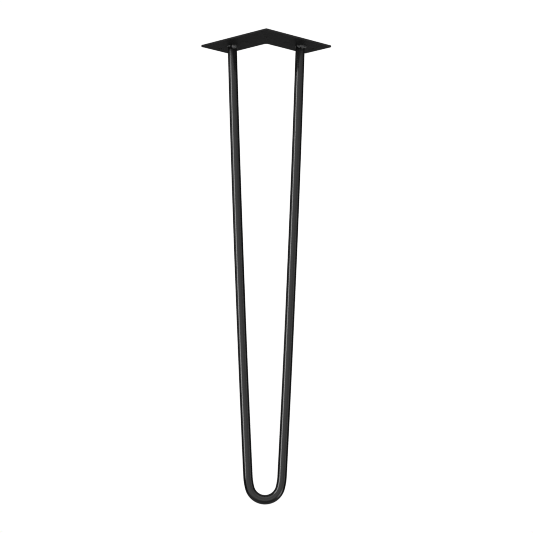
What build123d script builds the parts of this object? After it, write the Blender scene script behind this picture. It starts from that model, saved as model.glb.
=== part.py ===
from build123d import *
import os
from math import acos, asin, atan2, ceil, cos, degrees, hypot, pi, radians, sin, sqrt

# Two-limb hairpin table leg, in millimetres.
# The mounting face lies at Z = 0 with the leg hanging below it. The origin is the corner screw hole,
# X runs across the two limbs and -Y points to the outer corner of the plate, so to the table's corner.

# Whole leg
leg_height = 610.0          # mounting face to floor
splay_angle = 4.0           # lean of the limbs towards the outer corner, degrees off vertical

# Bent rod
rod_diameter = 12.0
bend_radius = 20.1          # foot bend, at the rod's centre line
lead_in_radius = 73.0       # slacker curve, where each limb runs into the foot bend
lead_in_angle = 12.0        # degrees turned in the slacker curve
limb_spacing = 91.0         # centre to centre of the limbs under the plate
limb_bow_radius = 31000.0   # the long limbs bow outwards very slightly
straight_end = 25.0         # unbowed end of each limb, under the plate
limb_setback = 84.0         # limb centre line under the plate, behind the outer corner
saw_allowance = 15.0        # rod left over above the plate's underside, before the flush cut

# L-shaped plate
wing_length = 123.5         # outer edge, from the outer corner to the end of a wing
wing_width = 49.0
plate_thickness = 2.5
outer_corner_radius = 0.8
inner_corner_radius = 3.5
plate_edge_round = 0.4      # softened cut edge, all round the plate

# Screw holes
screw_hole_diameter = 5.0
end_hole_inset = 12.0       # end screw hole, from the end of its wing
middle_hole_reach = 62.0    # middle screw hole, along its wing from the outer corner

# Weld beads, each a ring of overlapping tapered puddles
puddle_radius = 3.3         # on the plate
puddle_tip_radius = 1.2     # where the puddle runs out on the rod
puddle_height = 4.0         # from the plate down the rod
puddle_pitch = 4.2          # from one puddle to the next, at most

rod_radius = rod_diameter / 2
hole_gauge = wing_width / 2
outer_corner_y = -hole_gauge * sqrt(2)
limb_y = outer_corner_y + limb_setback
underside = Plane.XY.offset(-plate_thickness)

# The centre line of the rod lies in a plane that leans back from the foot to the plate.
# Up from the foot, each half runs through the foot bend, the slacker lead-in, the long bowed limb and a
# straight end that meets the underside, all tangent.
lean = radians(splay_angle)
limb_drop = (leg_height - plate_thickness - rod_radius) / cos(lean)
foot_y = limb_y - limb_drop * sin(lean)
leaning_plane = Plane(
    origin=(0, foot_y, rod_radius - leg_height),
    x_dir=(1, 0, 0),
    z_dir=(0, -cos(lean), sin(lean)),
)

# The centre of the foot bend, the centre of the bow and the end of the limb make a long triangle.
# Its three sides are known, and its corners give the angles that end the limbs at their spacing.
limb_rise = limb_drop - bend_radius
limb_reach = hypot(limb_spacing / 2, limb_rise)
bow_reach = hypot(limb_bow_radius, straight_end)
lead_in = radians(lead_in_angle)
slack = lead_in_radius - bend_radius
bow_across = limb_bow_radius - lead_in_radius + slack * cos(lead_in)
bow_along = slack * sin(lead_in)
bow_offset = hypot(bow_across, bow_along)
bow_tilt = atan2(bow_along, bow_across)
bend_corner = acos((limb_reach**2 + bow_offset**2 - bow_reach**2) / (2 * limb_reach * bow_offset))
bow_corner = asin(limb_reach * sin(bend_corner) / bow_reach)
toe_in = 180 - degrees(atan2(limb_rise, limb_spacing / 2) + bend_corner + bow_tilt)
limb_turn = degrees(bow_corner - bow_tilt - atan2(straight_end, limb_bow_radius))
bend_start = toe_in + lead_in_angle

os.makedirs("parts", exist_ok=True)

# Bent rod, sawn flush with the underside of the plate
with BuildPart() as hairpin_rod:
    with BuildLine(leaning_plane) as centre_line:
        foot_bend = CenterArc((0, bend_radius), bend_radius, 180 + bend_start, 180 - 2 * bend_start)
        heel = JernArc(foot_bend @ 1, foot_bend % 1, lead_in_radius, lead_in_angle)
        limb = JernArc(heel @ 1, heel % 1, limb_bow_radius, limb_turn)
        limb_end = Line(limb @ 1, limb @ 1 + (limb % 1) * (straight_end + saw_allowance))
        mirror([heel, limb, limb_end], about=Plane.YZ)
    with BuildSketch(Plane(origin=limb_end @ 1, z_dir=limb_end % 1)):
        Circle(rod_radius)
    sweep(path=centre_line.wire())
    split(bisect_by=underside, keep=Keep.BOTTOM)
hairpin_rod.part.label = "hairpin_rod"

# Plate, drawn with its outer corner at the sketch origin and a wing along each axis
plate_plane = Plane(origin=(0, outer_corner_y, -plate_thickness), x_dir=(1, 1, 0), z_dir=(0, 0, 1))
end_hole_reach = wing_length - end_hole_inset

with BuildPart() as mounting_plate:
    with BuildSketch(plate_plane) as plate_outline:
        Rectangle(wing_length, wing_width, align=Align.MIN)
        Rectangle(wing_width, wing_length, align=Align.MIN)
        corners = plate_outline.vertices().sort_by_distance((wing_width, wing_width))
        fillet(corners[0], inner_corner_radius)
        corners = plate_outline.vertices().sort_by_distance((wing_width, wing_width))
        fillet(corners[2:], outer_corner_radius)
    extrude(amount=plate_thickness)
    cut_edges = mounting_plate.faces().filter_by(Axis.Z).edges()
    fillet(cut_edges, plate_edge_round)
    with Locations(plate_plane):
        with Locations(
            (hole_gauge, hole_gauge),
            (middle_hole_reach, hole_gauge),
            (hole_gauge, middle_hole_reach),
            (end_hole_reach, hole_gauge),
            (hole_gauge, end_hole_reach),
        ):
            Hole(screw_hole_diameter / 2)
mounting_plate.part.label = "mounting_plate"

# Weld beads, in the corner between each end of the rod and the plate
puddle_count = ceil(2 * pi * rod_radius / puddle_pitch)
hanging = (Align.CENTER, Align.CENTER, Align.MAX)

with BuildPart() as right_weld:
    with Locations((limb_spacing / 2, limb_y, -plate_thickness)):
        with PolarLocations(rod_radius, puddle_count):
            Cone(puddle_tip_radius, puddle_radius, puddle_height, align=hanging)
    add(hairpin_rod.part, mode=Mode.SUBTRACT)
right_weld.part.label = "right_weld"

with BuildPart() as left_weld:
    mirror(right_weld.part, about=Plane.YZ)
left_weld.part.label = "left_weld"

export_step(hairpin_rod.part, "parts/hairpin_rod.step")
export_step(mounting_plate.part, "parts/mounting_plate.step")
export_step(left_weld.part, "parts/left_weld.step")
export_step(right_weld.part, "parts/right_weld.step")
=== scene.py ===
import random
from math import acos, asin, atan2, cos, hypot, pi, radians, sin, sqrt

import bmesh
import bpy
from mathutils import Matrix, Vector


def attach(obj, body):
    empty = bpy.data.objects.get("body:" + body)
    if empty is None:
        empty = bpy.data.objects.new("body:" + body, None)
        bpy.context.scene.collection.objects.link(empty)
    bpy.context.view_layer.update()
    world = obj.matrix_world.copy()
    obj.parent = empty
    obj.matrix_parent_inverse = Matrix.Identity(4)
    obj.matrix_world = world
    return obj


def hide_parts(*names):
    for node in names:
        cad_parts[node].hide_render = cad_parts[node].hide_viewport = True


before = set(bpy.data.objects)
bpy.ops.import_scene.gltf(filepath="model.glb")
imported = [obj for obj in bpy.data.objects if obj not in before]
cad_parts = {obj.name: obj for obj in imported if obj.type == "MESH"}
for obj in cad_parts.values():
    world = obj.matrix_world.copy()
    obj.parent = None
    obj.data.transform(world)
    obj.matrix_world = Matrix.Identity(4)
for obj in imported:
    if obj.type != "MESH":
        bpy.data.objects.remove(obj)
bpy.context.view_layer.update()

# The leg as it is made, in metres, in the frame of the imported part
MM = 0.001
leg_height = 610 * MM
lean = radians(4.0)
rod_radius = 6 * MM
bend_radius = 20.1 * MM
lead_in_radius = 73 * MM
lead_in = radians(12.0)
limb_spacing = 91 * MM
bow_radius = 31000 * MM
straight_end = 25 * MM
plate_thickness = 2.5 * MM
limb_setback = 84 * MM
wing_width = 49 * MM
outer_corner_y = -wing_width / 2 * sqrt(2)
limb_y = outer_corner_y + limb_setback

# How finely the bar is drawn, along each stretch of one limb and around
bend_steps = 26
lead_in_steps = 8
limb_steps = 70
straight_steps = 4
bar_facets = 48

# Puddles of weld: place round the bar in degrees, with the front at -90, then half width, toe on the plate
# and throat down the bar in millimetres. Those of the run behind are drawn between a lowest and a highest
run_places = range(44, 140, 21)
run_half_width = (3.3, 3.8)
run_toe = (2.3, 2.8)
run_throat = (2.6, 3.2)
left_lumps = (
    (-60, 4.2, 3.5, 4.3),
    (-78, 3.0, 2.9, 4.5),
    (-120, 2.2, 2.7, 2.4),
)
right_lumps = (
    (-64, 3.2, 3.5, 4.4),
    (-42, 2.8, 3.0, 2.8),
    (-20, 3.6, 3.3, 2.0),
    (-88, 2.3, 2.9, 2.6),
    (-104, 2.0, 1.5, 3.8),
    (-119, 2.0, 2.2, 1.8),
)
left_seed = 5
right_seed = 8

# The bead between and under its puddles
puddle_radius = rod_radius + 1.5 * MM
puddle_fullness = 0.7
join_power = 4
thin_toe = 0.6 * MM
thin_throat = 0.5 * MM
wander = 0.08 * MM
wander_waves = 7
section_fullness = 0.8
ripples = 22
ripple_bow = 2.6
ripple_depth = 0.07 * MM
into_plate = 0.3 * MM
lip_in_bar = 0.4 * MM
into_bar = 0.9 * MM
bead_steps = 220
section_steps = 18

# Unevenness of the powder coat, and the heights between which the corner under the plate turns dull
grit_size = 0.35 * MM
cloud_size = 6 * MM
drift_size = 38 * MM
finer_share = 0.55
cloud_in_tone = 0.6
grit_in_tone = 0.4
grit_in_skin = 0.12
grit_in_gloss = 0.04
drift_in_gloss = 0.08
corner_starts = -42 * MM
corner_full = -6 * MM

# Faces count as upright by the square of how far they point up, and the painted highlight's grey lies on
# them unevenly
upright_full = 0.2
upright_ends = 0.7
least_highlight_share = 0.4

# The ground is a touch over white, so that it stays clean in the picture
ground_white = 1.02
floor_radius = 1.5
floor_sides = 96

# Camera, in pixels, degrees and metres. It stands low in front of the plate's outer corner and looks up
image_width = 533
focal_pixels = 1711.3
sensor_width = 36
look_up = 7.137
roll = 0.159
camera_aside = 1.16 * MM
camera_distance = 2154.8 * MM
camera_height = 30 * MM


def loft(name, loops, ring=False):
    """One smooth mesh through closed loops of points: a ring of them, or a bar with both ends closed."""
    shape = bmesh.new()
    rows = [[shape.verts.new(point) for point in loop] for loop in loops]
    pairs = list(zip(rows, rows[1:]))
    if ring:
        pairs.append((rows[-1], rows[0]))
    else:
        shape.faces.new(rows[0])
        shape.faces.new(rows[-1])
    for one, two in pairs:
        for k in range(len(one)):
            shape.faces.new((one[k - 1], one[k], two[k], two[k - 1]))
    bmesh.ops.recalc_face_normals(shape, faces=shape.faces)
    mesh = bpy.data.meshes.new(name)
    shape.to_mesh(mesh)
    shape.free()
    mesh.shade_smooth()
    piece = bpy.data.objects.new(name, mesh)
    bpy.context.scene.collection.objects.link(piece)
    return piece


# The bent bar

def half_centre_line():
    """Points and headings of the centre line in its leaning plane, from the foot to the end of one limb."""
    drop = (leg_height - plate_thickness - rod_radius) / cos(lean)
    rise = drop - bend_radius
    reach = hypot(limb_spacing / 2, rise)
    bow_reach = hypot(bow_radius, straight_end)
    slack = lead_in_radius - bend_radius
    across = bow_radius - lead_in_radius + slack * cos(lead_in)
    along = slack * sin(lead_in)
    offset = hypot(across, along)
    tilt = atan2(along, across)
    bend_corner = acos((reach**2 + offset**2 - bow_reach**2) / (2 * reach * offset))
    bow_corner = asin(reach * sin(bend_corner) / bow_reach)
    toe_in = pi - atan2(rise, limb_spacing / 2) - bend_corner - tilt
    limb_turn = bow_corner - tilt - atan2(straight_end, bow_radius)

    line = [(0.0, 0.0, 0.0)]
    curves = (
        (bend_radius, pi / 2 - toe_in - lead_in, bend_steps),
        (lead_in_radius, lead_in, lead_in_steps),
        (bow_radius, limb_turn, limb_steps),
    )
    for radius, turn, steps in curves:
        x, up, heading = line[-1]
        for step in range(1, steps + 1):
            now = heading + turn * step / steps
            line.append((
                x + radius * (sin(now) - sin(heading)),
                up + radius * (cos(heading) - cos(now)),
                now,
            ))
    x, up, heading = line[-1]
    for step in range(1, straight_steps + 1):
        length = straight_end * step / straight_steps
        line.append((x + length * cos(heading), up + length * sin(heading), heading))
    return drop, line


def bent_bar():
    """The 12 mm bar, swept round its centre line and sawn flush with the underside of the plate."""
    drop, half = half_centre_line()
    foot = Vector((0, limb_y - drop * sin(lean), rod_radius - leg_height))
    across = Vector((1, 0, 0))
    upward = Vector((0, sin(lean), cos(lean)))
    facing = across.cross(upward)
    left = [(-x, up, -heading) for x, up, heading in reversed(half[1:])]
    stations = left + half
    loops = []
    for number, (x, up, heading) in enumerate(stations):
        middle = foot + across * x + upward * up
        along = across * cos(heading) + upward * sin(heading)
        side = along.cross(facing)
        loop = []
        for k in range(bar_facets):
            turn = 2 * pi * k / bar_facets
            point = middle + rod_radius * (side * cos(turn) + facing * sin(turn))
            if number in (0, len(stations) - 1):
                point = point + along * ((-plate_thickness - point.z) / along.z)
            loop.append(point)
        loops.append(loop)
    return loft("hairpin_bar", loops)


# The weld beads

def run_together(sizes):
    """Size where several puddles overlap: the largest, a little swollen where two are alike."""
    return sum(size**join_power for size in sizes)**(1 / join_power)


def bead_section(toe, throat, turn):
    """The bead cut through at one place round the bar: steps out from the bar and down from the plate."""
    outline = [(toe, -into_plate)]
    for step in range(section_steps + 1):
        arc = pi / 2 * step / section_steps
        crescent = ripples * turn + ripple_bow * (arc - pi / 4)**2
        ripple = ripple_depth * sin(crescent) * sin(2 * arc)
        out = (toe + ripple) * max(cos(arc), 0)**section_fullness
        down = (throat + ripple) * sin(arc)**section_fullness
        outline.append((out, down))
    inside = [(-lip_in_bar, throat), (-into_bar, throat / 2), (-into_bar, -into_plate)]
    return outline + inside


def weld_bead(name, side, lumps, seed):
    """A bead round the end of the bar: a close run of puddles behind, lumps where it starts and stops."""
    draw = random.Random(seed)
    run = [
        (place, draw.uniform(*run_half_width), draw.uniform(*run_toe), draw.uniform(*run_throat))
        for place in run_places
    ]
    puddles = run + list(lumps)
    waves = [(draw.uniform(-1, 1), draw.uniform(0, 2 * pi)) for _ in range(wander_waves)]
    middle = Vector((side * limb_spacing / 2, limb_y, -plate_thickness))
    loops = []
    for k in range(bead_steps):
        turn = 2 * pi * k / bead_steps
        swell = wander * sum(size * sin((n + 2) * turn + start) for n, (size, start) in enumerate(waves))
        on_plate = [thin_toe + swell]
        on_bar = [thin_throat + swell]
        for place, half_width, toe, throat in puddles:
            gap = (turn - radians(place) + pi) % (2 * pi) - pi
            dome = max(0.0, 1 - (gap * puddle_radius / (half_width * MM))**2)**puddle_fullness
            on_plate.append(toe * MM * dome)
            on_bar.append(throat * MM * dome)
        outward = Vector((cos(turn), sin(turn), 0))
        section = bead_section(run_together(on_plate), run_together(on_bar), turn)
        loops.append([middle + outward * (rod_radius + out) - Vector((0, 0, down)) for out, down in section])
    return loft(name, loops, ring=True)


# Finishes

class Value:
    """A shader socket that takes plain arithmetic: each step adds one Math node."""

    def __init__(self, sheet, socket):
        self.sheet = sheet
        self.socket = socket

    def math(self, operation, one, two):
        return self.sheet.node("ShaderNodeMath", {"operation": operation}, {0: one, 1: two})

    def __add__(self, other):
        return self.math("ADD", self, other)

    __radd__ = __add__

    def __sub__(self, other):
        return self.math("SUBTRACT", self, other)

    def __rsub__(self, other):
        return self.math("SUBTRACT", other, self)

    def __mul__(self, other):
        return self.math("MULTIPLY", self, other)

    __rmul__ = __mul__


class Sheet:
    """A node sheet, emptied, that grows one node at a time."""

    def __init__(self, owner):
        owner.use_nodes = True
        self.owner = owner
        self.tree = owner.node_tree
        self.tree.nodes.clear()

    def node(self, kind, settings=None, sockets=None, out=0):
        """Adds a node, sets it up, fills or links its sockets and gives one of its outputs."""
        made = self.tree.nodes.new(kind)
        for name, value in (settings or {}).items():
            setattr(made, name, value)
        for name, value in (sockets or {}).items():
            if isinstance(value, Value):
                self.tree.links.new(value.socket, made.inputs[name])
            else:
                made.inputs[name].default_value = value
        return Value(self, made.outputs[out]) if made.outputs else None

    def ease(self, value, low, high):
        """0 below low, 1 above high, and a smooth rise between."""
        return self.node(
            "ShaderNodeMapRange",
            {"interpolation_type": "SMOOTHSTEP"},
            {"Value": value, "From Min": low, "From Max": high},
        )

    def blend(self, share, one, two):
        """Colour one where share is 0, colour two where it is 1."""
        return self.node("ShaderNodeMix", {"data_type": "RGBA"}, {0: share, 6: one, 7: two}, out=2)

    def height(self, vector):
        """The height of a place, or how far a direction points up."""
        return self.node("ShaderNodeSeparateXYZ", None, {0: vector}, out="Z")


def grey(level):
    return (level, level, level, 1.0)


def powder_coat(name, dark, light, dullness, ior, peel_size, peel_depth, corner=0.0, edge_highlight_grey=0.0):
    """Baked black powder coat: orange-peel skin, fine grit, tone that clouds and gloss that drifts.

    Powder lies dry in the corner close under the plate, and corner is how much duller it is there. Upright
    faces, the cut edges and the walls of the holes, take the edge grey, a painted highlight for the light
    that edges catch.
    """
    coat = Sheet(bpy.data.materials.new(name))
    place = coat.node("ShaderNodeTexCoord", out="Object")

    def noise(size, detail):
        return coat.node(
            "ShaderNodeTexNoise",
            {"noise_dimensions": "3D"},
            {"Vector": place, "Scale": 1 / size, "Detail": detail, "Roughness": finer_share},
        )

    peel = noise(peel_size, detail=1.0)
    grit = noise(grit_size, detail=2.0)
    drift = noise(drift_size, detail=2.0)
    cloud = noise(cloud_size, detail=3.0)
    tone = coat.blend(cloud_in_tone * cloud + grit_in_tone * grit, grey(dark), grey(light))
    # Upright faces take a painted highlight: a lighter grey where the plate's cut edges catch the light
    if edge_highlight_grey:
        level = coat.height(coat.node("ShaderNodeNewGeometry", out="Normal"))
        upright = 1 - coat.ease(level * level, upright_full, upright_ends)
        tone = coat.blend(upright * (least_highlight_share + cloud), tone, grey(edge_highlight_grey))
    skin = coat.node(
        "ShaderNodeBump",
        None,
        {"Strength": 1.0, "Distance": peel_depth, "Height": peel + grit_in_skin * grit},
    )
    roughness = dullness + drift_in_gloss * (drift - 0.5) + grit_in_gloss * (grit - 0.5)
    if corner:
        roughness = roughness + corner * coat.ease(coat.height(place), corner_starts, corner_full)
    shader = coat.node(
        "ShaderNodeBsdfPrincipled",
        None,
        {"Base Color": tone, "Roughness": roughness, "IOR": ior, "Normal": skin},
    )
    coat.node("ShaderNodeOutputMaterial", None, {"Surface": shader})
    return coat.owner


rod_finish = powder_coat(
    "rod_black_coat",
    dark=0.007,
    light=0.013,
    dullness=0.17,
    ior=1.9,
    peel_size=2.4 * MM,
    peel_depth=0.0035 * MM,
    corner=0.22,
)
plate_finish = powder_coat(
    "plate_black_coat",
    dark=0.002,
    light=0.023,
    dullness=0.42,
    ior=1.45,
    peel_size=3.2 * MM,
    peel_depth=0.040 * MM,
    # A painted highlight: the grey of the plate's upright edge faces
    edge_highlight_grey=0.030,
)
# The weld's coat is greyer than the rod's: a painted highlight for the light its lumps catch
weld_painted_highlight_coat = powder_coat(
    "weld_coat_painted_highlight",
    dark=0.036,
    light=0.074,
    dullness=0.36,
    ior=1.9,
    peel_size=1.2 * MM,
    peel_depth=0.010 * MM,
)

bar = bent_bar()
bar.data.materials.append(rod_finish)
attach(bar, "root")
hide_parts("hairpin_rod")

beads = (
    (weld_bead("left_bead", -1, left_lumps, left_seed), "left_weld"),
    (weld_bead("right_bead", 1, right_lumps, right_seed), "right_weld"),
)
for bead, node in beads:
    bead.data.materials.append(weld_painted_highlight_coat)
    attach(bead, "root")
    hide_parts(node)

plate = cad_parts["mounting_plate"]
plate.material_slots[0].material = plate_finish


# Studio

def white_floor():
    """A round white floor under the foot, there for the eye only and clear from below."""
    shape = bmesh.new()
    bmesh.ops.create_circle(shape, cap_ends=True, segments=floor_sides, radius=floor_radius)
    mesh = bpy.data.meshes.new("floor")
    shape.to_mesh(mesh)
    shape.free()
    floor = bpy.data.objects.new("floor", mesh)
    floor.location = (0, 0, -leg_height)
    bpy.context.scene.collection.objects.link(floor)
    white = Sheet(bpy.data.materials.new("floor_white"))
    glow = white.node("ShaderNodeEmission", None, {"Color": grey(1.0), "Strength": ground_white})
    clear = white.node("ShaderNodeBsdfTransparent")
    below = white.node("ShaderNodeNewGeometry", out="Backfacing")
    sides = white.node("ShaderNodeMixShader", None, {0: below, 1: glow, 2: clear})
    white.node("ShaderNodeOutputMaterial", None, {"Surface": sides})
    mesh.materials.append(white.owner)
    floor.visible_diffuse = False
    floor.visible_glossy = False
    floor.visible_shadow = False


def softbox(name, azimuth, distance, height, width, tall, radiance, lit):
    """An upright softbox, out of the camera's sight.

    Azimuth turns from the camera's side to the right. It lights the pieces in lit, or all if none is named.
    """
    light = bpy.data.lights.new(name, "AREA")
    light.shape = "RECTANGLE"
    light.size = width
    light.size_y = tall
    light.energy = radiance * pi * width * tall
    lamp = bpy.data.objects.new(name, light)
    turn = radians(azimuth)
    lamp.location = (distance * sin(turn), -distance * cos(turn), height)
    lamp.rotation_euler = (pi / 2, 0, turn)
    lamp.visible_camera = False
    bpy.context.scene.collection.objects.link(lamp)
    if lit:
        chosen = bpy.data.collections.new(name + "_pieces")
        for piece in lit:
            chosen.objects.link(piece)
        lamp.light_linking.receiver_collection = chosen


def white_studio():
    """White to the eye. The coat's gloss sees a soft front and ceiling, dark flanks and a grey floor."""
    world = bpy.data.worlds.new("studio")
    world.cycles.sampling_method = "NONE"
    room = Sheet(world)
    way = room.node("ShaderNodeTexCoord", out="Generated")
    height = room.height(way)

    def card(azimuth, elevation, rim, core):
        """A soft round card, bright inside its core and dark outside its rim, both cosines of an angle."""
        turn = radians(azimuth)
        rise = radians(elevation)
        aim = (sin(turn) * cos(rise), -cos(turn) * cos(rise), sin(rise))
        near = room.node("ShaderNodeVectorMath", {"operation": "DOT_PRODUCT"}, {0: way, 1: aim}, out="Value")
        return room.ease(near, rim, core)

    front = card(6, 0, 0.17, 0.41)
    front_left = card(-35, 0, 0.0, 1.0)
    left_card = card(-97, 18, 0.955, 0.98)
    right_card = card(90, 15, 0.975, 0.995)
    right_floor = card(62, -25, 0.94, 0.99)
    near_floor = card(0, -10, 0.955, 1.0)
    far_floor = card(180, -15, 0.80, 0.97)
    ceiling = room.ease(height, 0.4, 0.8)
    ground = 1 - room.ease(height, -0.75, -0.2)
    soft_front = front * (0.88 + 0.36 * front_left + 0.25 * near_floor) * (1 - 0.65 * ground)
    grey_floor = 0.5 * ground * (1 - front)
    cards = 0.9 * left_card + 0.5 * right_card + 2.1 * right_floor + 0.21 * far_floor
    dark_flanks = 0.02
    mirror = dark_flanks + soft_front + grey_floor + 0.45 * ceiling + cards

    seen = room.node("ShaderNodeLightPath", out="Is Camera Ray")
    mirrored = room.node("ShaderNodeLightPath", out="Is Glossy Ray")
    ambient = 2.5
    strength = ground_white * seen + mirrored * mirror + (1 - seen - mirrored) * ambient
    backdrop = room.node("ShaderNodeBackground", None, {"Color": grey(1.0), "Strength": strength})
    room.node("ShaderNodeOutputWorld", None, {"Surface": backdrop})
    return world


white_floor()

# Azimuth in degrees, distance, height, width and tallness in metres, radiance, and the pieces lit
bar_and_beads = (bar, *(bead for bead, node in beads))
softbox("left_softbox", -60, 1.0, -0.015, 0.48, 1.05, 3.4, bar_and_beads)
softbox("right_softbox", 70, 2.0, -0.20, 0.25, 1.0, 1.3, ())
softbox("back_left_softbox", -150, 1.1, -0.65, 0.30, 0.9, 1.3, ())
softbox("back_right_softbox", 150, 1.1, -0.65, 0.30, 0.9, 1.0, ())
softbox("back_softbox", 180, 1.2, -0.80, 0.70, 1.0, 0.9, bar_and_beads)
softbox("top_softbox", 180, 1.1, 0.62, 2.4, 0.5, 0.6, (plate,))

# A darker display curve and a narrow pixel filter give the crisp dark edges of the photo
scene = bpy.context.scene
scene.world = white_studio()
scene.view_settings.view_transform = "Standard"
scene.view_settings.gamma = 0.62
scene.cycles.filter_width = 1.1

camera_data = bpy.data.cameras.new("camera")
camera_data.sensor_width = sensor_width
camera_data.lens = focal_pixels * sensor_width / image_width
camera = bpy.data.objects.new("camera", camera_data)
camera.matrix_world = (
    Matrix.Translation((camera_aside, outer_corner_y - camera_distance, camera_height - leg_height))
    @ Matrix.Rotation(radians(90 + look_up), 4, "X")
    @ Matrix.Rotation(radians(roll), 4, "Z")
)
scene.collection.objects.link(camera)
scene.camera = camera
